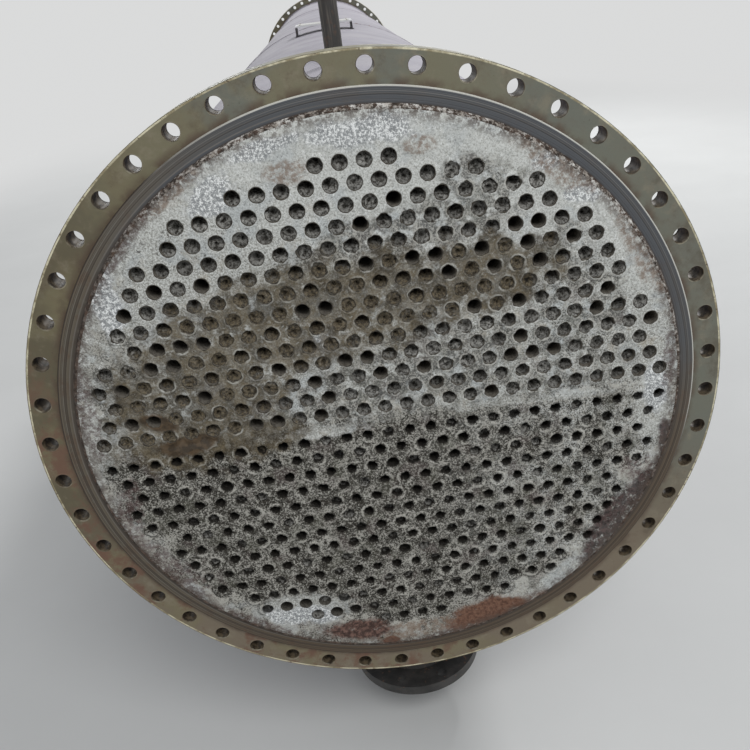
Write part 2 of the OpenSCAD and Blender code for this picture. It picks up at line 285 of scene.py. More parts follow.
MUD_PATCHES = in_metres(
    (-100, 175, 260, 85, -8),
    (-270, 70, 130, 120, 0),
    (140, 200, 140, 60, -8),
    (-310, 20, 110, 60, 0),
    (-200, 5, 80, 35, 0),
    (133, 210, 38, 55, 0),
)
SALT_PATCHES = in_metres(
    (20, 418, 70, 22, 0),
    (-110, 412, 50, 13, -14),
    (-185, 362, 45, 24, -30),
    (-352, 235, 22, 60, 0),
    (-180, -352, 62, 22, 10),
    (255, 350, 22, 12, 0),
    (305, 300, 30, 14, 0),
    (-240, 85, 18, 14, 0),
    (-83, 135, 28, 16, 0),
    (410, -10, 20, 50, 0),
)
BROWN_PATCHES = in_metres(
    (-297, 4, 50, 17, -3),
    (-330, 45, 30, 16, 20),
)
PEPPER_PATCHES = in_metres(
    (150, 75, 260, 80, 4),
    (300, 120, 80, 90, 0),
    (-100, 40, 160, 45, 0),
    (-360, 140, 50, 100, 0),
    (50, 270, 200, 50, -10),
    (270, 200, 80, 70, 0),
    (40, 4, 70, 16, 5),
    (-400, 95, 22, 75, 0),
    (170, 335, 70, 35, 20),
)
PALE_PATCHES = in_metres(
    (-172, -342, 80, 36, 10),
    (-350, -262, 24, 12, 50),
    (262, -343, 62, 20, -38),
    (405, -40, 30, 80, 0),
    (-100, -6, 55, 12, 0),
    (200, 5, 140, 12, 4),
)
RUST_PATCHES = in_metres(
    (132, -403, 88, 26, -12),
    (-43, -436, 18, 10, 0),
)
RED_PATCHES = in_metres(
    (-93, -402, 66, 25, 10),
)
STAIN_PATCHES = in_metres(
    (270, 352, 85, 26, 38),
    (-235, 372, 60, 13, -33),
    (390, 215, 30, 90, -28),
    (0, -418, 140, 20, 0),
    (-83, 377, 36, 18, -6),
    (90, 392, 22, 12, 0),
)
WEDGE_PATCHES = in_metres(
    (432, -120, 14, 50, -10),
    (362, -232, 122, 31, -51),
)
MAROON_PATCHES = in_metres(
    (-415, -130, 22, 100, 12),
    (-372, -218, 82, 26, 58),
    (430, 30, 10, 60, 0),
    (385, -150, 30, 28, -40),
    (80, -434, 120, 9, -10),
    (-260, -355, 100, 12, 38),
    (-300, 330, 120, 12, -46),
    (-425, 100, 18, 100, 0),
)


def clean_scale(look, axes, lift, grit):
    """White scale with dirty spots and dark pits, cleanest at the top right"""
    high = look.fade(look.plus(axes[2], look.both(axes[0], 0.3)), 0.2, 0.36)
    sparkle = look.both(look.spots(3.2, 0.54, 0.64, 4, 0.8), look.spots(50, 0.42, 0.56))
    pits = look.both(look.spots(4.2, 0.55, 0.62, 5, 0.85), look.spots(60, 0.36, 0.54, 4, 0.6))
    return look.stain(
        look.mix(look.fade(grit, look.blend(high, 0.4, 0.27), 0.6), LIME_SHADE, LIME),
        (LIME_COOL, look.spots(60, 0.48, 0.62, 5, 0.6), 0.5),
        (LIME_DIRTY, look.spots(50, 0.52, 0.7, 5, 0.7), look.blend(high, 0.7, 0.15)),
        (LIME, lift, 0.3),
        ((238, 240, 239), sparkle, look.blend(high, 0.45, 0.8)),
        (PIT, pits, look.blend(high, 0.85, 0.5)),
    )


def crusty_scale(look, axes, lift, grit):
    """Dark crust with pale specks, whiter to the right"""
    speck = look.plus(look.both(look.noise(2.7, 4, 0.85), 1.5), look.both(look.noise(14, 3), 0.25))
    pale = look.fade(look.plus(look.both(lift, 0.27), speck), 0.885, 1.08)
    to_right = look.both(look.fade(axes[0], 0.02, 0.3), look.spots(50, 0.4, 0.6))
    tinted = look.mottle((92, 92, 80), (98, 86, 84), 45, 0.45, 0.6)
    return look.stain(
        look.mix(pale, CRUST_DARK, CRUST_LIGHT),
        (LIME, to_right, look.both(look.fade(grit, 0.44, 0.6), 0.8)),
        (tinted, look.spots(35, 0.46, 0.66, 5), 0.35),
    )


def mud(look, lift, grit):
    """Brown mud with dark specks, paler where the scale under it stands out"""
    return look.stain(
        look.mottle(MUD_DARK, MUD, 22, 0.36, 0.62, 6, 0.7),
        ((50, 43, 32), look.spots(3.2, 0.5, 0.38, 4, 0.75), 0.5),
        (OUTLINE, look.fade(grit, 0.52, 0.66), 0.25),
        (OUTLINE, look.fade(lift, 0.42, 0.85), 0.6),
    )


def stained_areas(look, colour, lift, grit):
    """The areas of salt, mud, stains and rust over the colour of the scale"""
    cover = look.minus(0.94, look.both(look.spots(16, 0.54, 0.7, 5), 0.6))
    cover = look.both(cover, look.minus(1.0, look.both(lift, 0.45)))
    broken = look.spots(10, 0.4, 0.58, 6, 0.75)
    flaked = look.spots(14, 0.34, 0.48, 6, 0.75)
    salt = look.mottle((140, 143, 145), (248, 250, 249), 3.4, 0.46, 0.58, 4, 0.85)
    brown = look.mottle((58, 47, 35), (88, 72, 54), 12, 0.4, 0.6)
    wedge = look.mottle((42, 31, 30), (84, 64, 62), 10, 0.42, 0.6, 6, 0.8)
    wedge = look.stain(wedge, ((46, 35, 32), look.fade(look.radius(), 0.43, 0.441), 0.75))
    red = look.mottle((66, 50, 45), (126, 98, 88), 7, 0.42, 0.62, 5, 0.8)
    rust = look.mottle(RUST_DEEP, RUST, 6, 0.38, 0.62, 5, 0.7)
    return look.stain(
        colour,
        (salt, look.patches(SALT_PATCHES), 0.9),
        (mud(look, lift, grit), look.patches(MUD_PATCHES), cover),
        (brown, look.patches(BROWN_PATCHES), 0.92),
        ((128, 108, 92), look.patches(STAIN_PATCHES), look.both(broken, 0.75)),
        (MAROON, look.patches(MAROON_PATCHES), look.both(broken, 0.7)),
        (wedge, look.patches(WEDGE_PATCHES), look.both(flaked, 0.9)),
        (red, look.patches(RED_PATCHES), look.spots(20, 0.28, 0.42, 6, 0.7)),
        (rust, look.patches(RUST_PATCHES), look.spots(20, 0.24, 0.4, 6, 0.7)),
    )


def scale_colour(look, lift=None):
    """Colour, roughness and relief of the scale on the end faces. lift is 1 on top of a crust"""
    axes = look.axes(look.across())
    waver = look.both(look.minus(look.noise(35, 6, 0.7), 0.5), 0.14)
    below = look.fade(look.plus(axes[2], waver), 0.024, -0.004)
    lift = look.noise(20, 3) if lift is None else lift
    grit = look.noise(2.6, 3, 0.75)

    pepper = look.both(look.patches(PEPPER_PATCHES), look.spots(20, 0.4, 0.52, 5))
    bare = look.both(look.patches(PALE_PATCHES), 0.9)
    rimward = look.both(look.fade(look.radius(), 0.395, 0.43), look.spots(30, 0.46, 0.6, 5, 0.7))
    under = look.both(below, look.minus(1.0, look.either(bare, look.both(rimward, 0.6))))
    crust = look.either(under, look.both(pepper, 0.8))
    colour = look.mix(crust, clean_scale(look, axes, lift, grit), crusty_scale(look, axes, lift, grit))

    edge = look.both(look.fade(look.radius(), 0.424, 0.444), look.spots(12, 0.44, 0.54, 7, 0.8))
    colour = look.stain(
        stained_areas(look, colour, lift, grit),
        ((80, 68, 61), edge, 0.8),
        # Darker below the end face, inside the tube mouths: painted shade
        ((34, 31, 27), look.fade(look.from_end(), 0.0006, 0.003), 0.85),
    )
    return colour, SCALE_ROUGH, look.bump(grit, 1, look.grain(12, 1.4, 6, 0.7))


def hole_distance(look):
    """Distance from the middle of the nearest bolt hole of the rim"""
    axes = look.axes(look.across())
    turn = look.math("ARCTAN2", axes[2], axes[0])
    step = 2 * math.pi / BOLTS
    from_hole = look.minus(look.math("FLOORED_MODULO", turn, step), step / 2)
    along = look.both(from_hole, BOLT_CIRCLE_R)
    out = look.minus(look.radius(), BOLT_CIRCLE_R)
    return look.math("SQRT", look.plus(look.both(along, along), look.both(out, out)))


def rim_colour(look):
    """Worn khaki paint of the bolting rim: greener at the top right, browner to the left and below"""
    axes = look.axes(look.across())
    lean = look.plus(look.plus(axes[0], axes[2]), look.both(look.noise(250, 3), 0.3))
    paint = look.mix(look.fade(lean, 0.0, 0.55), PAINT_KHAKI, PAINT_GREEN)
    paint = look.mix(look.fade(axes[2], -0.04, -0.36), paint, PAINT_BEIGE)
    to_left = look.blend(look.fade(axes[0], 0.05, 0.35), 0.65, 0.1)
    low_left = look.plus(look.fade(look.plus(axes[0], axes[2]), -0.15, -0.55), 0.12)
    rusty = look.both(look.spots(45, 0.46, 0.6, 7, 0.7), low_left)
    by_ring = look.fade(look.radius(), RING_R + 0.014, RING_R + 0.001)
    inner = look.both(by_ring, look.spots(30, 0.36, 0.6, 5))
    paint = look.stain(
        paint,
        ((122, 115, 88), look.spots(110, 0.44, 0.6, 4, 0.6), to_left),
        (PAINT_WORN, look.spots(30, 0.5, 0.72, 6, 0.7), 0.5),
        ((74, 68, 54), look.spots(45, 0.54, 0.7, 6, 0.7), 0.45),
        ((110, 83, 68), rusty, 0.85),
        ((82, 65, 54), inner, 0.8),
        ((66, 58, 46), look.spots(5, 0.62, 0.7, 4, 0.7), 0.45),
    )
    wall = look.fade(hole_distance(look), BOLT_HOLE_R + 0.0006, BOLT_HOLE_R + 0.0002)
    return look.mix(wall, paint, look.mottle((58, 50, 40), (102, 90, 72), 8, 0.4, 0.6, 5))


def tubesheet_look():
    """The whole tubesheet: painted rim, dark gasket ring and scaled tube field"""
    look = Look("tubesheet_look", specular=0.35)
    radius = look.radius()
    scale, scale_rough, scale_relief = scale_colour(look)
    in_field = look.fade(radius, FIELD_R + 0.0004, FIELD_R + 0.0001)
    on_rim = look.fade(radius, RING_R - 0.0002, RING_R + 0.0002)
    colour = look.mix(on_rim, RING_BLUE, rim_colour(look))
    colour = look.mix(in_field, colour, scale)
    rough = look.blend(in_field, look.blend(look.noise(30, 5), 0.42, 0.68), scale_rough)
    reliefs = {0: in_field, 4: look.grain(20, 0.6, 6, 0.6), 5: scale_relief}
    return look.finish(colour, rough, look.node("Mix", 1, reliefs, data_type="VECTOR"))


def crust_look():
    """Scale and weld rings modelled round the tube ends"""
    look = Look("crust_look", specular=0.3)
    return look.finish(*scale_colour(look, look.attribute("lift")))


def tube_look(name, mouth, near, deep, reach):
    """Inside of the tubes: the end face, then scale near the mouth, with painted shade making it darker
    further in
    """
    look = Look(name, specular=0.3)
    from_end = look.from_end()
    # Darker further in: painted shade inside the tube
    far = look.fade(look.plus(from_end, look.both(look.noise(20, 3), 0.02)), 0.0, reach)
    wall = look.stain(near, (PIT, look.spots(4, 0.45, 0.62, 5, 0.7), 0.7))
    colour = look.mix(far, wall, deep)
    face = look.mottle(PIT, mouth, 3, 0.4, 0.6)
    colour = look.mix(look.fade(from_end, 0.0008, 0.0003), colour, face)
    return look.finish(colour, 0.85, look.grain(4, 0.8, 5, 0.7))


def deposit_look():
    """Deposit in the tubes: black where lift is 0, which is painted shade in the pit of each deposit, palest
    where it is 1, brown in the mud
    """
    look = Look("deposit_look", specular=0.25)
    lift = look.attribute("lift")
    pale = look.mix(lift, (72, 70, 66), (174, 173, 168))
    colour = look.mottle((44, 41, 36), pale, 4.2, 0.38, 0.6, 5, 0.75)
    brown = look.mottle((46, 39, 28), (120, 108, 86), 4, 0.4, 0.62, 5, 0.8)
    colour = look.stain(colour, (brown, look.patches(MUD_PATCHES), 0.8))
    # Near black where lift is lowest: painted shade in the pits
    colour = look.mix(look.fade(lift, 0.14, 0.02), colour, (28, 26, 22))
    return look.finish(colour, 0.9, look.grain(3, 1.2, 5, 0.7))


def gasket_ring_look():
    """Turned face of the gasket ring: blue-grey, browner to the left and low down, with a painted highlight
    and painted shade on its rounded outer edge
    """
    look = Look("gasket_ring_look", specular=0.45)
    radius = look.radius()
    axes = look.axes(look.across())
    lean = look.plus(look.both(axes[0], 0.35), axes[2])
    lean = look.plus(lean, look.both(look.minus(look.noise(120), 0.5), 0.4))
    low = look.fade(lean, 0.36, 0.02)
    bottom = look.fade(look.minus(axes[2], look.both(axes[0], 0.4)), -0.12, -0.38)
    to_light = look.plus(look.both(axes[0], 0.6), look.both(axes[2], 0.8))
    lit = look.fade(look.plus(to_light, look.both(look.noise(80), 0.1)), 0.17, 0.36)

    turned_at = look.plus(look.both(radius, 700.0), look.noise((900, 1000, 900), 2, 0.5))
    inputs = {"W": turned_at, "Scale": 1.0, "Detail": 2.0}
    rings = look.node("TexNoise", "Fac", inputs, noise_dimensions="1D")
    line = look.mix(bottom, RING_LINE, (112, 96, 78))
    outward = look.blend(look.fade(radius, 0.455, 0.463), 0.18, 0.5)
    outer = look.both(look.fade(radius, 0.4525, 0.4585), look.minus(1.0, lit))
    by_field = look.fade(radius, look.blend(low, FIELD_R + 0.006, FIELD_R + 0.012), FIELD_R + 0.002)
    groove = look.both(
        look.fade(radius, GROOVE_FROM_R - 0.0005, GROOVE_FROM_R + 0.0001),
        look.fade(radius, GROOVE_TO_R - 0.0002, GROOVE_TO_R - 0.0008),
    )
    lip = look.both(look.fade(radius, 0.4535, 0.4541), look.fade(radius, 0.4556, 0.455))
    colour = look.stain(
        RING_BLUE,
        (RING_BROWN, low, 0.9),
        ((94, 84, 69), outer, 0.6),
        ((78, 62, 46), bottom, 0.7),
        (line, look.fade(rings, 0.48, 0.66), outward),
        ((90, 70, 54), look.spots(40, 0.5, 0.66, 6, 0.7), look.blend(low, 0.15, 0.7)),
        ((50, 43, 35), look.fade(rings, 0.47, 0.36), look.blend(low, 0.2, 0.75)),
        ((54, 46, 40), look.both(by_field, look.spots(20, 0.25, 0.45, 5)), 0.85),
        ((58, 49, 39), groove, look.blend(low, 0.3, 0.75)),
        ((140, 134, 125), look.both(lip, look.fade(axes[0], 0.1, -0.15)), 0.4),
    )
    # Rounded outer edge: a pale painted highlight on the side facing the light, dark painted shade on the
    # rest
    edge = look.mix(lit, (52, 43, 36), (204, 203, 196))
    colour = look.mix(look.fade(radius, RING_R - 0.0018, RING_R - 0.0009), colour, edge)
    return look.finish(colour, look.blend(look.noise(20, 5), 0.4, 0.62), look.bump(rings, 0.4))


def worn_and_highlit_edge_look():
    """Edges where the paint has worn to pale metal, pale all round partly as a painted highlight"""
    look = Look("worn_and_highlit_edge_look", metallic=0.1)
    worn = look.mottle((142, 132, 104), (216, 210, 182), 30, 0.4, 0.6, 6, 0.7)
    colour = look.mottle(worn, (92, 76, 58), 11, 0.58, 0.66, 5, 0.7)
    return look.finish(colour, 0.5, look.grain(4, 0.3))


def hole_edge_look():
    """Rim paint round the bolt holes, pale where lift is 1, a painted highlight on the lower edge of each
    hole
    """
    look = Look("hole_edge_look", specular=0.45)
    pale = look.both(look.attribute("lift"), look.spots(12, 0.36, 0.6, 5, 0.7))
    colour = look.stain(rim_colour(look), ((176, 170, 150), pale, 0.75))
    return look.finish(colour, 0.55, look.grain(4, 0.3))


def edge_deposit_look():
    """Rust and flaking scale along the step of the tube field, palest at the top, partly as a painted
    highlight on the step
    """
    look = Look("edge_deposit_look", specular=0.3)
    axes = look.axes(look.across())
    # Paler towards the top: flaking scale and a painted highlight on the step
    high = look.fade(look.plus(axes[2], look.both(axes[0], 0.4)), 0.05, 0.42)
    rust = look.mottle((46, 39, 34), (84, 68, 58), 10, 0.4, 0.6, 6, 0.7)
    pale = look.mottle((160, 152, 143), (222, 220, 215), 20, 0.4, 0.6, 5, 0.7)
    flakes = look.spots(8, 0.46, 0.6, 6, 0.8)
    colour = look.stain(rust, (pale, flakes, look.plus(look.both(high, 0.9), 0.12)))
    return look.finish(colour, 0.8, look.grain(4, 0.8, 5, 0.7))


def primer_look(name, grime):
    """Matt lavender-grey primer with dust on top, faint streaks and rust specks"""
    look = Look(name, specular=0.3)
    upward = look.fade(look.axes(look.node("NewGeometry", "Normal"))[2], 0.35, 0.95)
    dusty = look.both(upward, look.spots(120, 0.38, 0.66, 6, 0.7))
    colour = look.stain(
        look.mottle(PRIMER_DARK, PRIMER, 350, 0.35, 0.65, 6, 0.6),
        ((132, 126, 130), look.spots((60, 60, 700), 0.54, 0.74, 5, 0.6), 0.3),
        (DUST, dusty, 0.7),
        ((208, 205, 208), look.spots((12, 60, 12), 0.66, 0.72, 4, 0.6), 0.4),
        ((118, 90, 74), look.spots(50, 0.67 - grime, 0.72 - grime, 8, 0.75), 0.75),
    )
    relief = look.grain(2.5, 0.25, 3, 0.6, look.grain(250, 3, 5, 0.6))
    return look.finish(colour, look.blend(look.noise(60, 5), 0.6, 0.85), relief)


def black_paint_look():
    """Near-black paint, chipped to rust and bare metal on its edges"""
    look = Look("black_paint_look")
    colour = look.mottle(BLACK_PAINT, (66, 64, 62), 50, 0.4, 0.65, 6, 0.65)
    colour = look.stain(colour, ((110, 84, 66), look.spots(12, 0.6, 0.64, 6, 0.75), 0.8))
    return look.finish(colour, look.blend(look.noise(20), 0.38, 0.6), look.grain(10, 0.5, 5))


def mill_scale_look():
    """Dark pipe steel with faint streaks along its length"""
    look = Look("mill_scale_look", metallic=0.2)
    colour = look.mottle(MILL_SCALE, (98, 93, 86), (4, 4, 90), 0.46, 0.72, 5, 0.6)
    colour = look.stain(colour, ((90, 70, 56), look.spots(16, 0.56, 0.66, 6, 0.7), 0.55))
    return look.finish(colour, look.blend(look.noise(10), 0.45, 0.68), look.grain(4, 0.4, 5))


def fibre_look():
    """Black fibre gasket"""
    look = Look("fibre_look", specular=0.3)
    colour = look.mix(look.noise(2), (24, 24, 24), (50, 48, 46))
    return look.finish(colour, 0.85, look.grain(1, 0.2, 3))


def bracket_look():
    """Painted sheet: a pale painted highlight on top and along the front edge, dark elsewhere as painted
    shade on the legs
    """
    look = Look("bracket_look", specular=0.4)
    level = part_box("nameplate_bracket")[1].z
    lit_top = look.fade(look.axes(look.place)[2], level - 0.0045, level - 0.0035)
    # Dark base colour: painted shade on the legs and under the top
    colour = look.mottle((56, 52, 56), (78, 74, 78), 30, 0.4, 0.6, 5)
    # Pale top and front edge: painted highlight
    colour = look.mix(lit_top, colour, (206, 206, 208))
    colour = look.stain(colour, ((108, 84, 68), look.spots(10, 0.62, 0.66, 6, 0.7), 0.8))
    return look.finish(colour, look.blend(look.noise(30), 0.45, 0.7), look.grain(5, 0.3))


def plate_look():
    """Blank satin sheet, brushed across and slightly stained"""
    look = Look("plate_look", metallic=0.85)
    brushed = look.noise((60, 0.6, 10), 4, 0.6)
    colour = look.mix(brushed, (186, 186, 184), (214, 214, 211))
    colour = look.stain(colour, ((150, 146, 140), look.spots(20, 0.55, 0.7, 5), 0.5))
    return look.finish(colour, look.blend(brushed, 0.32, 0.5), look.bump(brushed, 0.1))


def bolt_look():
    """Galvanized bolts gone dull, rusty here and there"""
    look = Look("bolt_look", metallic=0.7)
    colour = look.mottle((120, 118, 114), (160, 158, 152), 6, 0.4, 0.6, 5)
    colour = look.stain(colour, ((108, 76, 56), look.spots(10, 0.52, 0.62, 6, 0.7), 0.8))
    return look.finish(colour, look.blend(look.noise(5), 0.4, 0.7), look.grain(2, 0.2))


def weld_look():
    """Primed weld bead, rusty here and there"""
    look = Look("weld_look", specular=0.35)
    colour = look.mottle((132, 128, 135), (154, 150, 158), 10, 0.4, 0.65, 5)
    colour = look.stain(colour, ((106, 78, 62), look.spots(30, 0.58, 0.64, 7, 0.7), 0.75))
    return look.finish(colour, 0.65, look.grain(4.5, 1.2, 3, 0.5))


# Mesh helpers


class Shape:
    """Points and faces gathered for one mesh, with a lift from 0 to 1 for each point"""

    def __init__(self):
        self.points, self.faces, self.lifts, self.count = [], [], [], 0

    def sheet(self, points, lift=None, around=False, flip=False, keep=None):
        """Faces between rows and columns of points. around joins the last column to the first"""
        rows, columns = points.shape[:2]
        i, j = np.meshgrid(np.arange(rows - 1), np.arange(columns if around else columns - 1), indexing="ij")
        after = (j + 1) % columns
        corners = [i * columns + j, i * columns + after, (i + 1) * columns + after, (i + 1) * columns + j]
        faces = np.stack(corners[::-1] if flip else corners, -1).reshape(-1, 4)
        if keep is not None:
            faces = faces[keep.ravel()[faces].all(1)]
        self.points.append(points.reshape(-1, 3))
        self.lifts.append(np.zeros(rows * columns) if lift is None else lift.ravel())
        self.faces += (faces + self.count).tolist()
        self.count += rows * columns

    def on_face(self, end, x, z, height, lift=None, front=True, keep=None):
        """A sheet round an end face. height stands out from the tube field. front is False on its back"""
        x, z, height = np.broadcast_arrays(x, z, height)
        points = np.stack([x, end * (END_Y + height), z + AXIS_Z], -1)
        self.sheet(points, lift, around=True, flip=(end == REAR) == front, keep=keep)


def make_piece(name, shape, look, weld=0.0, sharp=70):
    """Turns a Shape into a piece of the exchanger. weld joins points closer than that"""
    mesh = bpy.data.meshes.new(name)
    mesh.from_pydata(np.concatenate(shape.points).tolist(), [], shape.faces)
    lift = mesh.attributes.new("lift", "FLOAT", "POINT")
    lift.data.foreach_set("value", np.concatenate(shape.lifts).astype(np.float32))
    work = bmesh.new()
    work.from_mesh(mesh)
    if weld:
        bmesh.ops.remove_doubles(work, verts=work.verts, dist=weld)
    loose = [v for v in work.verts if not v.link_faces]
    bmesh.ops.delete(work, geom=loose, context="VERTS")
    work.to_mesh(mesh)
    work.free()
    mesh.materials.append(look)
    mesh.shade_smooth()
    mesh.set_sharp_from_angle(angle=math.radians(sharp))
    obj = bpy.data.objects.new(name, mesh)
    bpy.context.scene.collection.objects.link(obj)
    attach(obj, "root")


def lumps(x, z, size, seed):
    """Smooth random heights from 0 to 1 over x and z, with bumps about size wide"""
    cells = 64
    table = np.random.default_rng(seed).random((cells, cells))
    u, v = x / size + 10 * cells, z / size + 10 * cells
    i, j = np.floor(u).astype(int), np.floor(v).astype(int)
    s, t = u - i, v - j
    s, t = s * s * (3 - 2 * s), t * t * (3 - 2 * t)
    near = table[i % cells, j % cells] * (1 - s) + table[(i + 1) % cells, j % cells] * s
    far = table[i % cells, (j + 1) % cells] * (1 - s) + table[(i + 1) % cells, (j + 1) % cells] * s
    return near * (1 - t) + far * t


def ring_turns(count, start=0.0):
    """Angles evenly spaced round a circle"""
    return np.arange(count) * 2 * math.pi / count + start


def ring_of(count, start=0.0):
    turn = ring_turns(count, start)
    return np.cos(turn), np.sin(turn)


# Tube field


def tube_centres(side):
    """Middles of the tubes of one pass and the row of each, from the lane outwards"""
    places, rows = [], []
    for row in range(ROWS):
        height = LANE / 2 + row * ROW_RISE
        half = math.sqrt(BUNDLE_R**2 - height**2) / PITCH
        count = 2 * math.floor(half) + 1 if row % 2 == 0 else 2 * math.floor(half + 0.5)
        if row in TIE_ROD_ROWS:
            count -= 2
        if row == ROWS - 1:
            count = min(count, LAST_ROW_TUBES)
        places += [((i - (count - 1) / 2) * PITCH, side * height) for i in range(count)]
        rows += [row] * count
    return np.array(places), np.array(rows)


def is_clear(x, row):
    return (row, round(abs(x) / PITCH)) in CLEAR_TUBES


def wall_reach(distance, facing):
    """How far off a wall is in directions that face it by this much"""
    return np.where(facing > 0.01, distance / np.maximum(facing, 0.01), 1.0)


def cell_reach(centres, side, out):
    """How far each tube's cell reaches in each direction, and where it has no neighbour"""
    reach = np.full((len(centres), len(out)), OPEN_REACH)
    apart = centres[None] - centres[:, None]
    for k in range(6):
        step = PITCH * np.array([math.cos(k * math.pi / 3), math.sin(k * math.pi / 3)])
        has = (np.abs(apart - step).max(2) < 0.001).any(1)
        plane = wall_reach(PITCH / 2, out @ step / PITCH)
        reach = np.where(has[:, None], np.minimum(reach, plane), reach)
    lane = wall_reach(LANE / 2, -side * out[:, 1])
    by_lane = np.abs(np.abs(centres[:, 1]) - LANE / 2) < 0.001
    reach = np.where(by_lane[:, None] & (lane < LANE_REACH), lane, reach)
    free = (reach >= OPEN_REACH - 1e-6) & (lane[None] > 0.03)
    along = centres @ out.T
    to_edge = np.sqrt(along**2 - (centres**2).sum(1)[:, None] + (FIELD_R - 0.0015) ** 2) - along
    return np.minimum(reach, to_edge), free


def patch_cover(patches, centres):
    """How far each of these places is inside some of the patches, from 0 to 1"""
    cover = np.zeros(len(centres))
    for middle_x, middle_z, wide, high, turn in patches:
        cos, sin = math.cos(math.radians(turn)), math.sin(math.radians(turn))
        along, up = centres[:, 0] - middle_x, centres[:, 1] - middle_z
        reach = np.hypot((along * cos - up * sin) / wide, (along * sin + up * cos) / high)
        cover = np.maximum(cover, np.clip((1.15 - reach) / 0.4, 0, 1))
    return cover


# Radius of the crust's mouth, top and foot round the tubes of each pass, how far in it starts, the heights
# of the weld ring and of the crust, and how pale each ring of points is, from the mouth outwards
ENDS = {
    UPPER: {
        "mouth": 0.011, "top": 0.0118, "foot": 0.0138, "inner": -0.0006, "ring": 0.0006, "crust": 0.001,
        "pale": (0.15, 0.5, 0.9, 1, 0.8, 0.1, 0, 0),
    },
    LOWER: {
        "mouth": 0.0084, "top": 0.0118, "foot": 0.0142, "inner": -0.012, "ring": 0.0017, "crust": 0.0024,
        "pale": (0, 0.1, 0.2, 1, 0.6, 0, 0, 0),
    },
}


def tube_mouths(side, wave, random):
    """Radius of each tube's mouth and of the crest round it, and how rough its scale is"""
    sizes = ENDS[side]
    centres, rows = tube_centres(side)
    muddy, pepper = patch_cover(MUD_PATCHES, centres), patch_cover(PEPPER_PATCHES, centres)
    rough = np.maximum(muddy, pepper)[:, None]
    bare = patch_cover(PALE_PATCHES[:1], centres)[:, None]
    jagged = 0.22 if side == LOWER else 0.04 + 0.11 * rough
    mouth = sizes["mouth"] * (1 + jagged * wave - 0.5 * jagged * random.random((len(centres), 1)))
    clear = np.array([is_clear(x, row) for (x, _), row in zip(centres, rows)])[:, None]
    mouth = np.where(clear, np.maximum(mouth, CLEAR_MOUTH_R), mouth)
    mouth = mouth + bare * np.maximum(BARE_MOUTH_R - mouth, 0)
    crest = np.maximum(sizes["top"] * (1 + 0.4 * jagged * wave), mouth + 0.0008)
    return mouth, crest, rough


def tube_ends(name, end, side, look, seed):
    """Weld ring and scale round every tube end of a pass, in cells that meet"""
    sizes = ENDS[side]
    count = 36 if end == FRONT else 24
    random = np.random.default_rng(seed)
    centres = tube_centres(side)[0]
    cos, sin = ring_of(count)
    reach, free = cell_reach(centres, side, np.stack([cos, sin], 1))
    phase = random.random((len(centres), 4)) * 6.3
    wave = sum(np.sin(ring_turns(count) * k + phase[:, i, None]) for i, k in enumerate((2, 3, 5, 8))) / 4
    arcs = sum(np.sin(ring_turns(count) * k + phase[:, 3 - k, None] * 2) for k in (1, 2, 3)) / 3
    rightward = np.clip(centres[:, :1], 0, 0.4)
    strength = np.clip(random.normal(0.46, 0.3, (len(centres), 1)) + 0.7 * rightward, 0.05, 1)
    mouth, crest, rough = tube_mouths(side, wave, random)
    shown = np.clip(0.55 + 0.9 * arcs, 0, 1) * strength
    build = 0.55 + 0.6 * strength + 0.25 * wave
    top = sizes["ring"] * build * (1 + rough * (side == UPPER))
    # Rings of points from the mouth outwards: radius, height, share of the crust that lies on it
    rings = (
        (mouth - 0.0002, sizes["inner"], 0),
        (mouth, sizes["inner"] * 0.1, 0),
        (mouth + 0.0003, top * 0.55, 0.3),
        (crest, top, 0.5),
        (crest + 0.0011, top * 0.85, 0.6),
        (sizes["foot"], top * 0.12, 0.9),
        ((sizes["foot"] + reach) / 2, 0, 1),
        (reach, 0, 1),
    )
    cells = []
    for (radius, height, share), pale in zip(rings, sizes["pale"]):
        x = centres[:, :1] + cos * radius
        z = centres[:, 1:] + sin * radius
        crust = 0.55 * lumps(x, z, 0.0066, seed + 1) + 0.45 * lumps(x, z, 0.0034, seed + 2)
        crust += 0.35 * lumps(x, z, 0.03, seed + 3) - 0.35
        height = height + sizes["crust"] * share * np.clip(crust, 0.02, 1)
        cells.append((x, z, height, np.clip(pale * shown + 0.7 * share * np.clip(crust, 0, 1), 0, 1)))
    x, z, height, lift = (np.stack(part, 1) for part in zip(*cells))
    height[:, -1] = np.where(free, -0.0004, height[:, -1])
    shape = Shape()
    for i in range(len(centres)):
        shape.on_face(end, x[i], z[i], height[i], lift[i])
    make_piece(name, shape, look, weld=0.00002, sharp=80)


def margin_scale(name, end, look, seed):
    """Flaking scale between the outer tubes and the edge of the field"""
    columns, rows = (900, 60) if end == FRONT else (600, 40)
    cos, sin = ring_of(columns)
    radius = np.linspace(MARGIN_FROM_R, FIELD_R - 0.002, rows)[:, None]
    x, z = radius * cos, radius * sin
    gap = np.full(x.shape, 1.0)
    for centre in (*tube_centres(UPPER)[0], *tube_centres(LOWER)[0]):
        gap = np.minimum(gap, np.hypot(x - centre[0], z - centre[1]))
    show = 0.65 * lumps(x, z, 0.045, seed) + 0.35 * lumps(x, z, 0.012, seed + 1) - 0.44
    thick = 0.0011 * np.clip(show / 0.05, 0, 1) + 0.0007 * np.clip((show - 0.12) / 0.04, 0, 1)
    thick += 0.0006 * lumps(x, z, 0.006, seed + 2) * (show > 0)
    room = np.clip((gap - 0.0165) / 0.002, 0, 1) * np.clip((FIELD_R - 0.0025 - radius) / 0.002, 0, 1)
    height = thick * room - 0.0003
    keep = (gap > 0.0155) & (height > -0.00029)
    grown = keep.copy()
    for shift, axis in ((1, 0), (-1, 0), (1, 1), (-1, 1)):
        grown |= np.roll(keep, shift, axis)
    shape = Shape()
    shape.on_face(end, x, z, height, np.clip(height / 0.002, 0, 1), keep=grown & (gap > 0.0135))
    make_piece(name, shape, look, sharp=80)


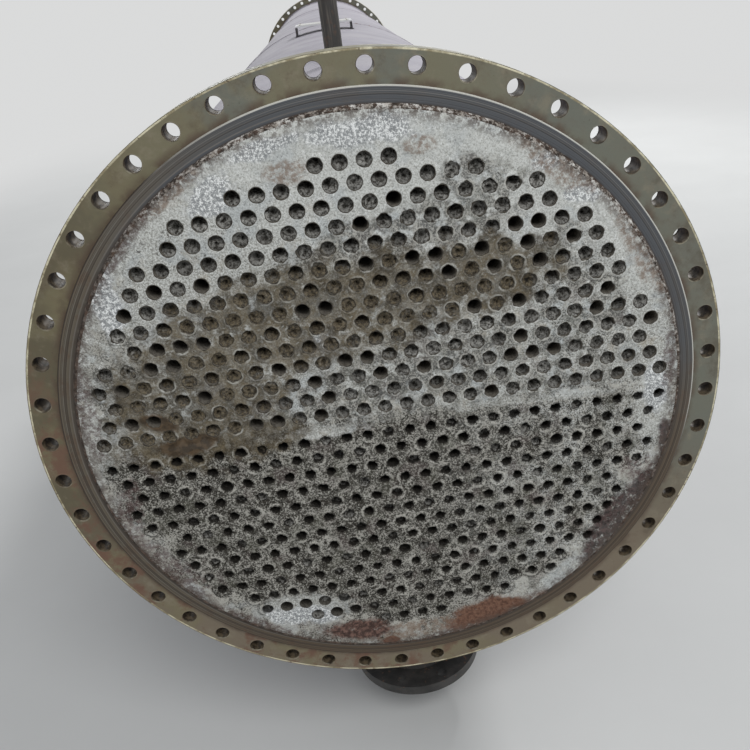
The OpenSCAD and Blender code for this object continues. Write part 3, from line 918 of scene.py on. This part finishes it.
def gasket_ring(name, end, look, seed):
    """Turned face of the gasket ring, with a few shallow grooves near its rounded outer edge"""
    cos, sin = ring_of(480 if end == FRONT else 320)
    start = FIELD_R + 0.0002
    steps = np.linspace(start, RING_R - 0.0012, 30)
    groove = 0.00022 * (0.5 + 0.5 * np.sin((steps - start) / 0.0026 * 2 * math.pi)) * (steps > 0.46)
    groove[(steps > GROOVE_FROM_R) & (steps < GROOVE_TO_R)] += 0.0003
    radius = np.concatenate([steps, [RING_R - 0.0004, RING_R + 0.0003, RING_R + 0.0004]])[:, None]
    height = np.concatenate([groove + 0.0002, [0.0004, -0.0004, -RING_H]])[:, None]
    x, z = radius * cos, radius * sin
    pits = np.clip(lumps(x, z, 0.009, seed) - 0.62, 0, 1) * 0.001
    shape = Shape()
    shape.on_face(end, x, z, height - FIELD_H + np.where(height > 0, pits, 0))
    make_piece(name, shape, look, sharp=60)


def field_edge(name, end, look, seed):
    """Rough deposit along the step between the tube field and the gasket ring"""
    cos, sin = ring_of(1100 if end == FRONT else 700)
    radius = FIELD_R + np.array([-0.0042, -0.0024, -0.0008, 0.0006, 0.0016, 0.003])[:, None]
    height = np.array([-0.0003, 0.0003, 0.0005, -0.0008, -0.004, -FIELD_H - 0.0002])[:, None]
    thick = np.array([0, 0.001, 0.0016, 0.0022, 0.0022, 0])[:, None]
    x, z = radius * cos, radius * sin
    wave = lumps(x, z, 0.016, seed) * 0.6 + lumps(x, z, 0.005, seed + 1) * 0.7 - 0.42
    shape = Shape()
    shape.on_face(end, x, z, height + np.clip(wave, 0, 1) * thick)
    make_piece(name, shape, look, sharp=80)


def tube_deposits(name, end, side, share, look, seed):
    """Lumpy deposit inside some of the tubes, almost level with the face where it is muddy"""
    random = np.random.default_rng(seed)
    centres, rows = tube_centres(side)
    cos, sin = ring_of(20 if end == FRONT else 12)
    radius = np.array([0.0, 0.2, 0.4, 0.6, 0.8, 0.93, 1.02])[:, None] * TUBE_BORE_R
    shape = Shape()
    for (x0, z0), row, muddy in zip(centres, rows, patch_cover(MUD_PATCHES, centres)):
        draw, deep, lean, fill, pale, pit_turn, pit_out, pit_size = random.random(8)
        if draw > share or is_clear(x0, row):
            continue
        level_fill = side == UPPER and muddy * (0.35 + 0.65 * fill) > 0.5
        shallow, spread = (0.007, 0.016) if side == LOWER else (0.0028, 0.009)
        if level_fill:
            shallow, spread = 0.0012, 0.002
        x, z = x0 + radius * cos, z0 + radius * sin
        slump = (0.1 if level_fill else 0.2 + 0.9 * lean) * (z - z0)
        rough = 0.006 * (lumps(x, z, 0.006, seed + 1) - 0.5) + 0.005 * (lumps(x, z, 0.0027, seed + 2) - 0.5)
        pit_x = x0 + 0.5 * TUBE_BORE_R * pit_out * math.cos(6.3 * pit_turn)
        pit_z = z0 + 0.5 * TUBE_BORE_R * pit_out * math.sin(6.3 * pit_turn)
        pit = np.exp(-((x - pit_x) ** 2 + (z - pit_z) ** 2) / (0.002 + 0.0035 * pit_size) ** 2)
        height = -shallow - spread * deep - slump + rough - 0.008 * pit
        if fill < 0.3:
            height -= 0.03 * np.clip((z - z0) / TUBE_BORE_R + 0.2, 0, 1)
        height = np.minimum(height, -0.0009 - 0.3 * np.maximum(height, -0.0009))
        local = lumps(np.array([x0]), np.array([z0]), 0.11, seed + 3)[0]
        light = 0.3 + 0.7 * np.clip(1.5 * (0.6 * local + 0.4 * pale) - 0.38, 0, 1)
        # Much darker in the pit of each deposit: painted shade in its hollow
        light = light * (1 - 0.95 * pit) + 0.6 * np.clip(lumps(x, z, 0.0035, seed + 4) - 0.72, 0, 1)
        shape.on_face(end, x, z, height, np.clip(light, 0, 1))
    make_piece(name, shape, look, weld=0.00001, sharp=80)


# Rim of the tubesheets


def bolt_hole_edges(name, end, look, seed):
    """Narrow edge round each bolt hole, on the bolting face and on the back of the rim"""
    cos, sin = ring_of(32)
    random = np.random.default_rng(seed)
    radius = BOLT_HOLE_R + np.array([-0.0004, 0.0001, 0.0009, 0.0014])[:, None]
    height = np.array([-0.0016, 0.0003, 0.00025, -0.0002])[:, None]
    on_face = radius > BOLT_HOLE_R + 0.0005
    shape = Shape()
    for turn in ring_turns(BOLTS, math.pi / BOLTS):
        off_x, off_z = (random.random(2) - 0.5) * 0.0006
        x = BOLT_CIRCLE_R * math.cos(turn) + radius * cos + off_x * on_face
        z = BOLT_CIRCLE_R * math.sin(turn) + radius * sin + off_z * on_face
        # Pale on the lower edge of each hole: painted highlight
        pale = np.clip(-sin * 1.6, 0, 1) * random.random() + 0 * x
        shape.on_face(end, x, z, height - FIELD_H - RING_H, pale)
        shape.on_face(end, x, z, -FIELD_H - RING_H - RIM_T - height, pale, front=False)
    make_piece(name, shape, look)


def rim_edges(name, end, look, seed):
    """Worn edges of the rim, on the bolting face and at the back, pale partly as a painted highlight"""
    cos, sin = ring_of(720)
    radius = RIM_R + np.array([-0.0034, -0.0026, -0.0008, 0.0001, 0.0002, -0.0002])[:, None]
    height = np.array([-0.0002, 0.0002, 0.0002, -0.0007, -0.0026, -0.0034])[:, None]
    worn = 0.0009 * lumps(radius * cos, radius * sin, 0.03, seed) * (radius > RIM_R - 0.001)
    x, z = radius * cos * (1 - worn), radius * sin * (1 - worn)
    shape = Shape()
    shape.on_face(end, x, z, height - FIELD_H - RING_H)
    shape.on_face(end, x, z, -FIELD_H - RING_H - RIM_T - height, front=False)
    make_piece(name, shape, look)


# Welds, bolts and rivets


def bead(shape, path, along_a, along_b, leg, seed, closed=False):
    """Rippled fillet weld in the corner along path, between directions a and b"""
    path, a, b = (np.asarray(v, float) for v in (path, along_a, along_b))
    random = np.random.default_rng(seed)
    ripple = 1 + 0.1 * np.sin(np.arange(len(path)) * 1.7) + 0.08 * (random.random(len(path)) - 0.5)
    size = (leg * ripple)[:, None]
    rounding = ((1, 0), (0.62, 0.3), (0.3, 0.62), (0, 1))
    rows = [path + (a * of_a + b * of_b) * size for of_a, of_b in rounding]
    rows = np.stack([*rows, path - (a + b) * 0.0004])
    if closed:
        rows = np.concatenate([rows, rows[:, :1]], 1)
    shape.sheet(np.concatenate([rows, rows[:1]], 0))


def line(start, finish, step=0.004):
    """Evenly spaced points on a straight line"""
    start, finish = np.array(start, float), np.array(finish, float)
    count = max(2, int(np.linalg.norm(finish - start) / step))
    return start + (finish - start) * np.linspace(0, 1, count)[:, None]


def nozzle_welds(name, end, look):
    """Welds round a bottom nozzle: neck to pad, pad to shell, and neck to hub"""
    shape = Shape()
    y0 = end * (END_Y - NOZZLE_IN)
    for radius, surface, leg, count in ((NECK_R, SHELL_R + PAD_T, 0.009, 110), (PAD_R, SHELL_R, 0.008, 190)):
        cos, sin = ring_of(count)
        x = radius * cos
        drop = np.sqrt(surface**2 - x**2)
        path = np.stack([x, y0 + radius * sin, AXIS_Z - drop], 1)
        outward = np.stack([cos, sin, cos * x / drop], 1)
        outward /= np.linalg.norm(outward, axis=1)[:, None]
        bead(shape, path, outward, (0, 0, -1), leg, 5, closed=True)
    profile = ((0.0, 0.006), (0.0015, 0.004), (0.0022, 0.0), (0.0015, -0.004), (0.0, -0.006))
    turned(shape, 0.0, y0, [(NECK_R + out, HUB_TOP + up) for out, up in profile], 90)
    make_piece(name, shape, look)


def rib_welds(shape, x, near, far):
    """Welds along both sides of a saddle rib's foot"""
    for face in (-1, 1):
        place = x + face * PLATE_HALF_T
        path = line((place, near, BASE_TOP), (place, far, BASE_TOP))
        bead(shape, path, (face, 0, 0), (0, 0, 1), 0.005, 15)


def saddle_welds(name, end, look):
    """Welds of a saddle: wear pad to shell, web to pad, web and ribs to base"""
    shape = Shape()
    middle = np.array([0, end * SADDLE_Y, AXIS_Z])
    turn = np.linspace(-WEAR_PAD_TURN, WEAR_PAD_TURN, 270)
    arc = np.stack([np.sin(turn), 0 * turn, -np.cos(turn)], 1)
    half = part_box("front_saddle_web")[1].x
    on_web = arc[np.abs(turn) < math.asin(half / (SHELL_R + WEAR_PAD_T)) - 0.01]
    for side in (-1, 1):
        edge = middle + arc * SHELL_R + (0, side * WEAR_PAD_HALF, 0)
        bead(shape, edge, (0, side, 0), arc, 0.007, 11)
        tip = WEAR_PAD_TURN * side
        away = np.array([math.cos(tip) * side, 0, math.sin(tip) * side])
        out = np.array([math.sin(tip), 0, -math.cos(tip)])
        start = middle + out * SHELL_R + (0, -WEAR_PAD_HALF, 0)
        bead(shape, line(start, start + (0, 2 * WEAR_PAD_HALF, 0)), away, out, 0.007, 12)
        web_face = side * PLATE_HALF_T
        top = middle + on_web * (SHELL_R + WEAR_PAD_T) + (0, web_face, 0)
        bead(shape, top, (0, side, 0), on_web, 0.006, 13)
        near = middle[1] + web_face
        foot = line((-half, near, BASE_TOP), (half, near, BASE_TOP))
        bead(shape, foot, (0, side, 0), (0, 0, 1), 0.006, 14)
        for x in (-half + 0.01, -half / 3, half / 3, half - 0.01):
            rib_welds(shape, x, near, near + side * RIB_W)
    make_piece(name, shape, look)


def bracket_welds(name, look):
    """Welds along the feet of the nameplate bracket"""
    shape = Shape()
    low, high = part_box("nameplate_bracket")
    for side, x in ((-1, low.x), (1, high.x)):
        rise = math.sqrt(SHELL_R**2 - x**2)
        path = line((x, low.y + 0.006, AXIS_Z + rise), (x, high.y - 0.006, AXIS_Z + rise), 0.003)
        bead(shape, path, (side, 0, -side * x / rise), (0, 0, 1), 0.005, 21)
    make_piece(name, shape, look)


def turned(shape, x, y, profile, count=24, start=0.0):
    """Round or many-sided body on a vertical axis at x, y. profile is (radius, height)"""
    cos, sin = ring_of(count, start)
    rows = [np.stack([x + r * cos, y + r * sin, np.full(count, float(h))], 1) for r, h in profile]
    shape.sheet(np.stack(rows), around=True)


def hexagon(shape, x, y, low, high, flat, start):
    """Hexagon nut with its corners turned off"""
    corner, tip, face = flat / math.sqrt(3), (high - low) * 0.16, flat * 0.47
    sides = (corner, low + tip), (corner, high - tip)
    turned(shape, x, y, ((0.0, low), (face, low), *sides, (face, high), (0.0, high)), 6, start)


def thread(low, high, radius, pitch):
    """Profile of a stud between two heights, with its thread"""
    profile = [(0.0, low), (radius * 0.8, low)]
    for k in range(int((high - low) / pitch)):
        level = low + (k + 0.25) * pitch
        profile += [(radius, level), (radius * 0.88, level + pitch / 2)]
    return profile + [(radius * 0.8, high), (0.0, high)]


def vent_bolts(name, look):
    """Four studs with nuts through the vent flange and its blind"""
    shape = Shape()
    low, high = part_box("vent_flange"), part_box("vent_blind")
    bottom, top = low[0].z, high[1].z
    nut_flat, stud_r, thread_pitch = 0.018, 0.006, 0.00175
    for k in range(4):
        turn = math.radians(45 + 90 * k)
        x = (low[0].x + low[1].x) / 2 + VENT_BOLT_CIRCLE_R * math.cos(turn)
        y = (low[0].y + low[1].y) / 2 + VENT_BOLT_CIRCLE_R * math.sin(turn)
        hexagon(shape, x, y, bottom - 0.01, bottom, nut_flat, 0.2 + k)
        hexagon(shape, x, y, top, top + 0.0092, nut_flat, 0.9 * k)
        turned(shape, x, y, thread(bottom - 0.015, top + 0.0098, stud_r, thread_pitch))
    make_piece(name, shape, look, sharp=30)


def nameplate_rivets(name, look):
    """Four round rivets in the corners of the blank nameplate"""
    shape = Shape()
    low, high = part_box("nameplate")
    inset, rivet_r, rivet_h = 0.007, 0.003, 0.0016
    rises = np.linspace(-0.1, math.pi / 2, 6)
    dome = [(rivet_r * math.cos(t), high.z + rivet_h * math.sin(t)) for t in rises]
    for x in (low.x + inset, high.x - inset):
        for y in (low.y + inset, high.y - inset):
            turned(shape, x, y, dome, 16)
    make_piece(name, shape, look, sharp=50)


def nameplate_frame(name, look):
    """Raised bead round the blank nameplate"""
    shape = Shape()
    low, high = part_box("nameplate")
    inset = 0.013
    sides = np.array([(-1, -1), (1, -1), (1, 1), (-1, 1)])
    middle = np.array([low.x + high.x, low.y + high.y]) / 2
    half = np.array([high.x - low.x, high.y - low.y]) / 2 - inset
    rows = []
    for grow, up in ((0.0, -0.0002), (0.0005, 0.0006), (0.0013, 0.0006), (0.0018, -0.0002)):
        rows.append([(*corner, high.z + up) for corner in middle + sides * (half + grow)])
    shape.sheet(np.array(rows), around=True, flip=True)
    make_piece(name, shape, look, sharp=30)


# Camera, light and floor


def add_camera():
    """The place and direction of the photograph, which is 750 pixels high"""
    frame_px, focal_px = 750, 804.7
    place = Vector((-0.0107, -4.0527, 1.3377))
    forward = Vector((0.0372, 0.892, -0.4505)).normalized()
    up = Vector((0.1403, 0.4417, 0.8861)).normalized()
    right = forward.cross(up).normalized()
    up = right.cross(forward)
    data = bpy.data.cameras.new("camera")
    data.sensor_width = 36
    data.lens = data.sensor_width * focal_px / frame_px
    data.shift_x = -30 / frame_px
    data.shift_y = 7.6 / frame_px
    data.clip_end = 200
    camera = bpy.data.objects.new("camera", data)
    turn = Matrix((right, up, -forward)).transposed().to_4x4()
    camera.matrix_world = Matrix.Translation(place) @ turn
    bpy.context.scene.collection.objects.link(camera)
    bpy.context.scene.camera = camera
    bpy.context.scene.view_settings.view_transform = "Standard"


def add_lamp(name, place, target, size, watts):
    data = bpy.data.lights.new(name, "AREA")
    data.shape = "DISK"
    data.size = size
    data.energy = watts
    lamp = bpy.data.objects.new(name, data)
    lamp.location = place
    lamp.rotation_euler = (Vector(target) - Vector(place)).to_track_quat("-Z", "Y").to_euler()
    lamp.visible_camera = False
    bpy.context.scene.collection.objects.link(lamp)


def seen_ray(tree):
    """1 for rays that show the background, 0 for those that light the exchanger"""
    rays = tree.node("LightPath").node.outputs
    seen = tree.either(rays["Is Camera Ray"], rays["Is Glossy Ray"])
    return tree.either(seen, rays["Is Transmission Ray"])


def add_world():
    world = bpy.data.worlds.new("studio")
    bpy.context.scene.world = world
    world.use_nodes = True
    tree = Tree(world.node_tree)
    light = tree.nodes["Background"]
    tree.put(light.inputs["Color"], (0.95, 0.97, 1.0, 1.0))
    tree.put(light.inputs["Strength"], 0.46)
    shown = tree.node("Background", 0, {"Color": BACKGROUND})
    mixed = tree.node("MixShader", 0, {0: seen_ray(tree), 1: light.outputs[0], 2: shown})
    tree.put(tree.nodes["World Output"].inputs["Surface"], mixed)


def add_floor():
    """Pale level floor that fades into the background far from the exchanger"""
    half, fade_from, fade_to = 60.0, 2.4, 4.6
    mesh = bpy.data.meshes.new("floor")
    corners = [(-half, -half, 0), (half, -half, 0), (half, half, 0), (-half, half, 0)]
    mesh.from_pydata(corners, [], [(0, 1, 2, 3)])
    floor = bpy.data.objects.new("floor", mesh)
    bpy.context.scene.collection.objects.link(floor)
    look = Look("floor_look", specular=0.1)
    look.finish(look.mix(look.noise(500, 5, 0.6), (196, 197, 196), (206, 207, 206)), 0.9)
    spread = look.vector("LENGTH", look.vector("MULTIPLY", look.place, (1, 0.55, 1)))
    far = look.both(look.fade(spread, fade_from, fade_to), seen_ray(look))
    shown = look.node("Emission", 0, {"Color": BACKGROUND})
    mixed = look.node("MixShader", 0, {0: far, 1: look.shader.outputs[0], 2: shown})
    look.put(look.nodes["Material Output"].inputs["Surface"], mixed)
    mesh.materials.append(look.material)


add_camera()
add_world()
add_floor()
add_lamp("key_lamp", (3.4, 3.2, 5.6), (0.0, -1.2, 0.6), 1.3, 330)
add_lamp("front_lamp", (1.2, -6.2, 4.6), (0.0, -3.0, 0.8), 2.6, 125)
add_lamp("back_lamp", (-2.6, 6.8, 3.8), (0.0, 2.6, 0.8), 2.6, 110)

# Finishes of the construction's own pieces

primer = primer_look("shell_look", 0.0)
black_paint = black_paint_look()
plate = plate_look()
bolts = bolt_look()
welds = weld_look()

FINISHES = {
    "tubesheet": tubesheet_look(),
    "tubes_upper": tube_look("upper_tube_look", (82, 78, 70), (122, 117, 108), (70, 65, 58), 0.16),
    "tubes_lower": tube_look("lower_tube_look", (100, 98, 90), (108, 105, 98), (44, 41, 37), 0.05),
    "shell": primer,
    "_welds": welds,
    "_end_weld": welds,
    "nozzle_neck": black_paint,
    "nozzle_flange": black_paint,
    "nozzle_pad": primer,
    "vent": mill_scale_look(),
    "vent_gasket": fibre_look(),
    "nameplate": plate,
    "bracket": bracket_look(),
    "saddle": primer_look("saddle_look", 0.03),
}

# The last words that fit a node's name decide its finish
for node_name, node in cad.items():
    fitting = [finish for words, finish in FINISHES.items() if words in node_name]
    node.data.materials.clear()
    node.data.materials.append(fitting[-1])

# Pieces added to both ends

crust = crust_look()
ring = gasket_ring_look()
edge_deposit = edge_deposit_look()
deposit = deposit_look()
hole_edge = hole_edge_look()
worn_and_highlit_edge = worn_and_highlit_edge_look()

for word, end, seed in (("front", FRONT, 100), ("rear", REAR, 200)):
    tube_ends(f"{word}_upper_tube_ends", end, UPPER, crust, seed)
    tube_ends(f"{word}_lower_tube_ends", end, LOWER, crust, seed + 10)
    margin_scale(f"{word}_margin_scale", end, crust, seed + 20)
    gasket_ring(f"{word}_gasket_face", end, ring, seed + 30)
    field_edge(f"{word}_field_edge", end, edge_deposit, seed + 40)
    tube_deposits(f"{word}_upper_deposits", end, UPPER, 0.86, deposit, seed + 50)
    tube_deposits(f"{word}_lower_deposits", end, LOWER, 0.35, deposit, seed + 60)
    bolt_hole_edges(f"{word}_bolt_hole_edges", end, hole_edge, seed + 70)
    rim_edges(f"{word}_rim_edges", end, worn_and_highlit_edge, seed + 80)
    nozzle_welds(f"{word}_nozzle_welds", end, welds)
    saddle_welds(f"{word}_saddle_welds", end, welds)

bracket_welds("bracket_welds", welds)
vent_bolts("vent_bolts", bolts)
nameplate_rivets("nameplate_rivets", bolts)
nameplate_frame("nameplate_frame", plate)
